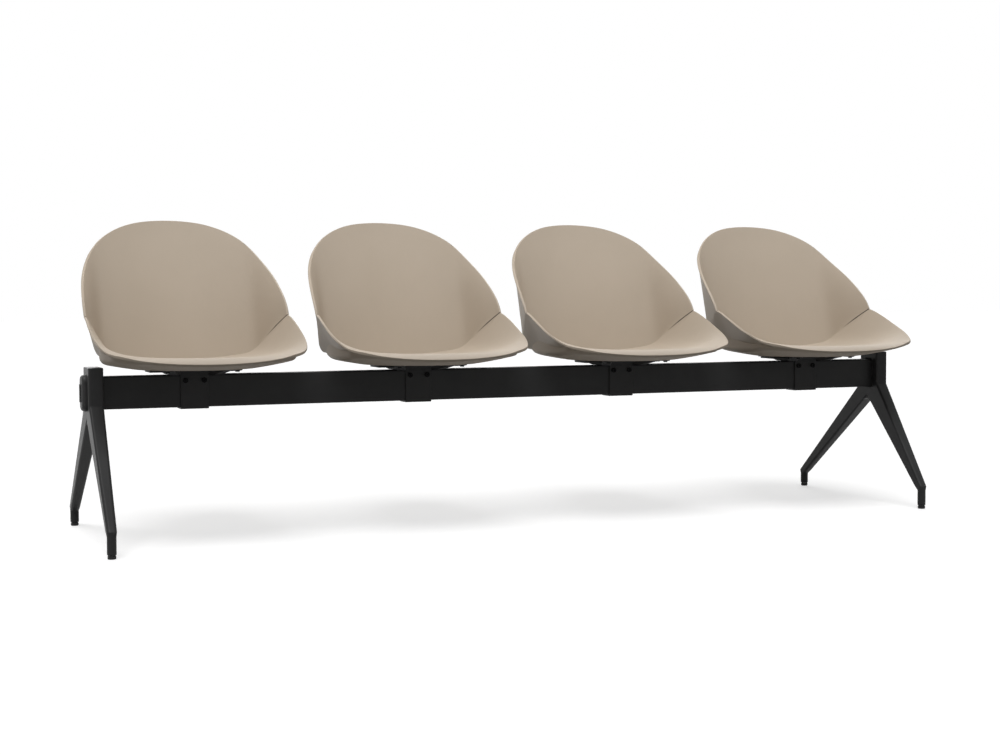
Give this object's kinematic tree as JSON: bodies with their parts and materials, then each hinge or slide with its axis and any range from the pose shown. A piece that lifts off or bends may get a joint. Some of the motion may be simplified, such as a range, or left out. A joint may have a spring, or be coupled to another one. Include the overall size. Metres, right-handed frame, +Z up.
{
  "type": "beam seating",
  "caption": "Linked bucket seats on a horizontal beam with a splayed leg at each end, for waiting rooms and concourses.",
  "frame": {"origin": "centre of the footprint on the floor, at the underside of the foot glides", "axes": "+X along the beam to the sitter's left, -Y the way a sitter faces, +Z up"},
  "size_m": [2.288, 0.6312, 0.797],
  "materials": {
    "beam_steel": "black satin powder coat",
    "leg_aluminium": "black satin powder coat on cast aluminium",
    "end_cap_plastic": "black fine-textured moulding",
    "screw_steel": "black oxide",
    "plate_steel": "zinc plated",
    "glide_plastic": "black matte moulding",
    "stud_steel": "zinc plated",
    "shell_plastic": "warm grey matte moulding",
    "tray_plastic": "warm grey matte moulding",
    "insert_brass": "knurled, plain",
    "bracket_metal": "black satin powder coat on cast aluminium",
    "clamp_steel": "black satin powder coat",
    "bolt_steel": "black oxide"
  },
  "bodies": {
    "bench": {"beam": "beam_steel", "leg_left": "leg_aluminium", "end_cap_left": "end_cap_plastic", "leg_screws_left": "screw_steel", "thread_plate_left": "plate_steel", "leg_right": "leg_aluminium", "end_cap_right": "end_cap_plastic", "leg_screws_right": "screw_steel", "thread_plate_right": "plate_steel", "seat_shell_1": "shell_plastic", "under_tray_1": "tray_plastic", "shell_inserts_1": "insert_brass", "seat_screws_1": "screw_steel", "seat_bracket_1": "bracket_metal", "clamp_plate_1": "clamp_steel", "clamp_bolts_1": "bolt_steel", "seat_shell_2": "shell_plastic", "under_tray_2": "tray_plastic", "shell_inserts_2": "insert_brass", "seat_screws_2": "screw_steel", "seat_bracket_2": "bracket_metal", "clamp_plate_2": "clamp_steel", "clamp_bolts_2": "bolt_steel", "seat_shell_3": "shell_plastic", "under_tray_3": "tray_plastic", "shell_inserts_3": "insert_brass", "seat_screws_3": "screw_steel", "seat_bracket_3": "bracket_metal", "clamp_plate_3": "clamp_steel", "clamp_bolts_3": "bolt_steel", "seat_shell_4": "shell_plastic", "under_tray_4": "tray_plastic", "shell_inserts_4": "insert_brass", "seat_screws_4": "screw_steel", "seat_bracket_4": "bracket_metal", "clamp_plate_4": "clamp_steel", "clamp_bolts_4": "bolt_steel"},
    "glide_front_left": {"foot_glide_front_left": "glide_plastic"},
    "stud_front_left": {"foot_stud_front_left": "stud_steel"},
    "glide_rear_left": {"foot_glide_rear_left": "glide_plastic"},
    "stud_rear_left": {"foot_stud_rear_left": "stud_steel"},
    "glide_front_right": {"foot_glide_front_right": "glide_plastic"},
    "stud_front_right": {"foot_stud_front_right": "stud_steel"},
    "glide_rear_right": {"foot_glide_rear_right": "glide_plastic"},
    "stud_rear_right": {"foot_stud_rear_right": "stud_steel"}
  },
  "joints": [
    {"name": "level_front_left", "type": "slide", "parent": "bench", "child": "glide_front_left", "axis": [0, 0, -1], "range_m": [0, 0.01]},
    {"name": "turn_front_left", "type": "hinge", "parent": "glide_front_left", "child": "stud_front_left", "pos_m": [-1.111, -0.29835, 0], "axis": [0, 0, -1], "range_deg": [0, 2880]},
    {"name": "level_rear_left", "type": "slide", "parent": "bench", "child": "glide_rear_left", "axis": [0, 0, -1], "range_m": [0, 0.01]},
    {"name": "turn_rear_left", "type": "hinge", "parent": "glide_rear_left", "child": "stud_rear_left", "pos_m": [-1.111, 0.30465, 0], "axis": [0, 0, -1], "range_deg": [0, 2880]},
    {"name": "level_front_right", "type": "slide", "parent": "bench", "child": "glide_front_right", "axis": [0, 0, -1], "range_m": [0, 0.01]},
    {"name": "turn_front_right", "type": "hinge", "parent": "glide_front_right", "child": "stud_front_right", "pos_m": [1.111, -0.29835, 0], "axis": [0, 0, -1], "range_deg": [0, 2880]},
    {"name": "level_rear_right", "type": "slide", "parent": "bench", "child": "glide_rear_right", "axis": [0, 0, -1], "range_m": [0, 0.01]},
    {"name": "turn_rear_right", "type": "hinge", "parent": "glide_rear_right", "child": "stud_rear_right", "pos_m": [1.111, 0.30465, 0], "axis": [0, 0, -1], "range_deg": [0, 2880]}
  ],
  "couplings": [
    {"joint": "turn_front_left", "follows": "level_front_left", "rad_per_m": 5026.5},
    {"joint": "turn_rear_left", "follows": "level_rear_left", "rad_per_m": 5026.5},
    {"joint": "turn_front_right", "follows": "level_front_right", "rad_per_m": 5026.5},
    {"joint": "turn_rear_right", "follows": "level_rear_right", "rad_per_m": 5026.5}
  ]
}
